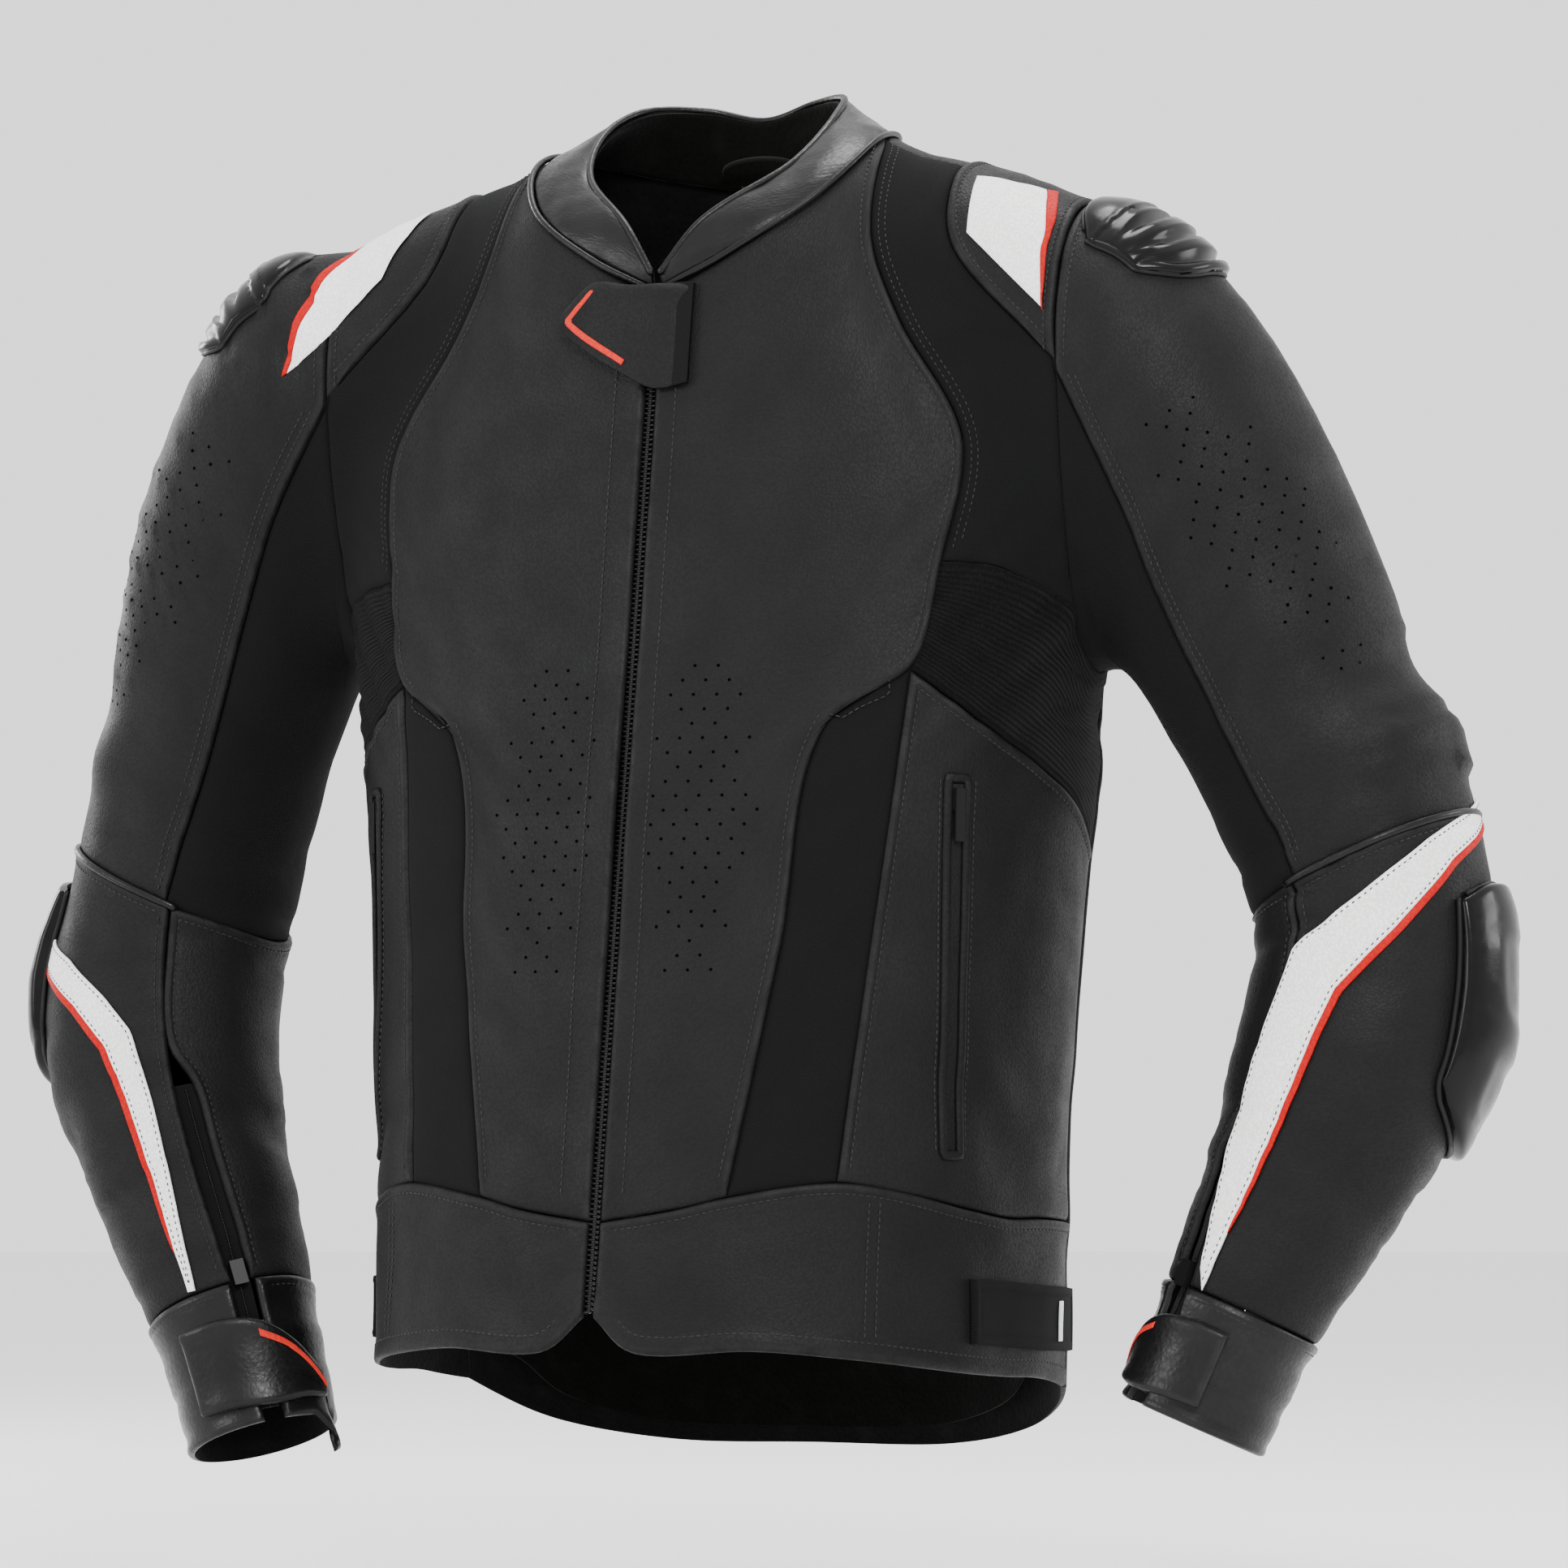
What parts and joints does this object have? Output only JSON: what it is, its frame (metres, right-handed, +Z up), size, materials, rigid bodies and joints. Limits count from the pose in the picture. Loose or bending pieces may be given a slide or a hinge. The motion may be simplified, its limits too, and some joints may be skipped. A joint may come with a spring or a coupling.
{
  "type": "leather riding jacket",
  "caption": "Fitted leather motorcycle jacket with curved sleeves, front zip, stand collar, shoulder and elbow sliders, stretch panels and adjusters.",
  "frame": {"origin": "centre of the neck opening at the height of the back neck seam, where a hanger's hook comes out", "axes": "+X towards the wearer's left sleeve, -Y out of the front, +Z up out of the collar"},
  "size_m": [0.8119, 0.3008, 0.7052],
  "materials": {
    "leather": "fine-grained cowhide, semi-matt",
    "gloss_leather": "smooth polished leather",
    "stretch_fabric": "woven stretch fabric, matt",
    "lining": "knitted lining, matt",
    "hard_slider": "injection-moulded, glossy",
    "armour_foam": "soft armour foam, matt",
    "zip_tape": "woven tape with moulded teeth",
    "zip_metal": "black enamelled die-cast",
    "pull": "moulded rubber"
  },
  "bodies": {
    "torso": {"collar_shell": "gloss_leather", "collar_lining": "lining", "back_yoke": "leather", "back_stretch": "stretch_fabric", "back_panel": "leather", "back_protector": "armour_foam", "torso_lining": "lining", "hanger_loop": "zip_tape", "connector_zip": "zip_tape", "front_panel_right": "leather", "front_stretch_right": "stretch_fabric", "shoulder_stretch_right": "stretch_fabric", "underarm_panel_right": "stretch_fabric", "side_panel_right": "leather", "pocket_zip_right": "zip_tape", "waist_panel_right": "leather", "shoulder_panel_right": "leather", "main_zip_tape_right": "zip_tape", "front_panel_left": "leather", "front_stretch_left": "stretch_fabric", "shoulder_stretch_left": "stretch_fabric", "underarm_panel_left": "stretch_fabric", "side_panel_left": "leather", "pocket_zip_left": "zip_tape", "waist_panel_left": "leather", "shoulder_panel_left": "leather", "main_zip_tape_left": "zip_tape"},
    "upper_sleeve_right": {"upper_sleeve_outer_right": "leather", "upper_sleeve_inner_right": "stretch_fabric", "shoulder_slider_right": "hard_slider", "shoulder_armour_right": "armour_foam"},
    "forearm_right": {"forearm_outer_right": "leather", "forearm_inner_right": "leather", "cuff_band_right": "gloss_leather", "cuff_zip_right": "zip_tape", "elbow_slider_right": "hard_slider", "elbow_armour_right": "armour_foam"},
    "cuff_tab_right": {"cuff_tab_right": "gloss_leather"},
    "cuff_zip_slider_right": {"cuff_zip_slider_right": "zip_metal"},
    "pocket_slider_right": {"pocket_slider_right": "zip_metal"},
    "pocket_pull_right": {"pocket_pull_right": "pull"},
    "waist_strap_right": {"waist_strap_right": "stretch_fabric"},
    "upper_sleeve_left": {"upper_sleeve_outer_left": "leather", "upper_sleeve_inner_left": "stretch_fabric", "shoulder_slider_left": "hard_slider", "shoulder_armour_left": "armour_foam"},
    "forearm_left": {"forearm_outer_left": "leather", "forearm_inner_left": "leather", "cuff_band_left": "gloss_leather", "cuff_zip_left": "zip_tape", "elbow_slider_left": "hard_slider", "elbow_armour_left": "armour_foam"},
    "cuff_tab_left": {"cuff_tab_left": "gloss_leather"},
    "cuff_zip_slider_left": {"cuff_zip_slider_left": "zip_metal"},
    "pocket_slider_left": {"pocket_slider_left": "zip_metal"},
    "pocket_pull_left": {"pocket_pull_left": "pull"},
    "waist_strap_left": {"waist_strap_left": "stretch_fabric"},
    "neck_flap": {"neck_flap": "leather"},
    "main_zip_slider": {"main_zip_slider": "zip_metal", "main_zip_pull": "zip_metal"}
  },
  "joints": [
    {"name": "main_zip", "type": "slide", "parent": "torso", "child": "main_zip_slider", "axis": [0, -0.1589, -0.9873], "range_m": [0, 0.47]},
    {"name": "neck_flap_swing", "type": "hinge", "parent": "torso", "child": "neck_flap", "pos_m": [0.0156, -0.0855, -0.095], "axis": [0, 0.1589, 0.9873], "range_deg": [0, 100]},
    {"name": "shoulder_right", "type": "hinge", "parent": "torso", "child": "upper_sleeve_right", "pos_m": [-0.2, 0.014, -0.0245], "axis": [0, 1, 0], "range_deg": [0, 35]},
    {"name": "elbow_right", "type": "hinge", "parent": "upper_sleeve_right", "child": "forearm_right", "pos_m": [-0.31, -0.04, -0.366], "axis": [-0.9075, 0, 0.42], "range_deg": [0, 45]},
    {"name": "cuff_zip_right", "type": "slide", "parent": "forearm_right", "child": "cuff_zip_slider_right", "axis": [-0.3478, 0.0813, 0.934], "range_m": [0, 0.06]},
    {"name": "cuff_tab_right", "type": "hinge", "parent": "forearm_right", "child": "cuff_tab_right", "pos_m": [-0.2675, -0.06345, -0.61507], "axis": [0.3447, -0.0685, -0.9362], "range_deg": [0, 80]},
    {"name": "pocket_zip_right", "type": "slide", "parent": "torso", "child": "pocket_slider_right", "axis": [0.0163, -0.0152, -0.9998], "range_m": [0, 0.16]},
    {"name": "pocket_pull_right_swing", "type": "hinge", "parent": "pocket_slider_right", "child": "pocket_pull_right", "pos_m": [-0.15986, -0.07438, -0.32372], "axis": [-0.5521, 0.8335, -0.0217], "range_deg": [0, 150]},
    {"name": "waist_strap_right_swing", "type": "hinge", "parent": "torso", "child": "waist_strap_right", "pos_m": [-0.162, -0.06528, -0.578], "axis": [0, -0.0241, 0.9997], "range_deg": [0, 30]},
    {"name": "shoulder_left", "type": "hinge", "parent": "torso", "child": "upper_sleeve_left", "pos_m": [0.2, 0.014, -0.0245], "axis": [0, -1, 0], "range_deg": [0, 35]},
    {"name": "elbow_left", "type": "hinge", "parent": "upper_sleeve_left", "child": "forearm_left", "pos_m": [0.322, -0.037, -0.366], "axis": [-0.9075, 0, -0.42], "range_deg": [0, 45]},
    {"name": "cuff_zip_left", "type": "slide", "parent": "forearm_left", "child": "cuff_zip_slider_left", "axis": [0.3321, 0.1031, 0.9376], "range_m": [0, 0.06]},
    {"name": "cuff_tab_left", "type": "hinge", "parent": "forearm_left", "child": "cuff_tab_left", "pos_m": [0.28484, -0.06293, -0.60598], "axis": [0.387, 0.097, 0.9169], "range_deg": [0, 80]},
    {"name": "pocket_zip_left", "type": "slide", "parent": "torso", "child": "pocket_slider_left", "axis": [-0.0163, -0.0152, -0.9998], "range_m": [0, 0.16]},
    {"name": "pocket_pull_left_swing", "type": "hinge", "parent": "pocket_slider_left", "child": "pocket_pull_left", "pos_m": [0.15986, -0.07438, -0.32372], "axis": [-0.5521, -0.8335, 0.0217], "range_deg": [0, 150]},
    {"name": "waist_strap_left_swing", "type": "hinge", "parent": "torso", "child": "waist_strap_left", "pos_m": [0.162, -0.06528, -0.578], "axis": [0, 0.0241, -0.9997], "range_deg": [0, 30]}
  ]
}
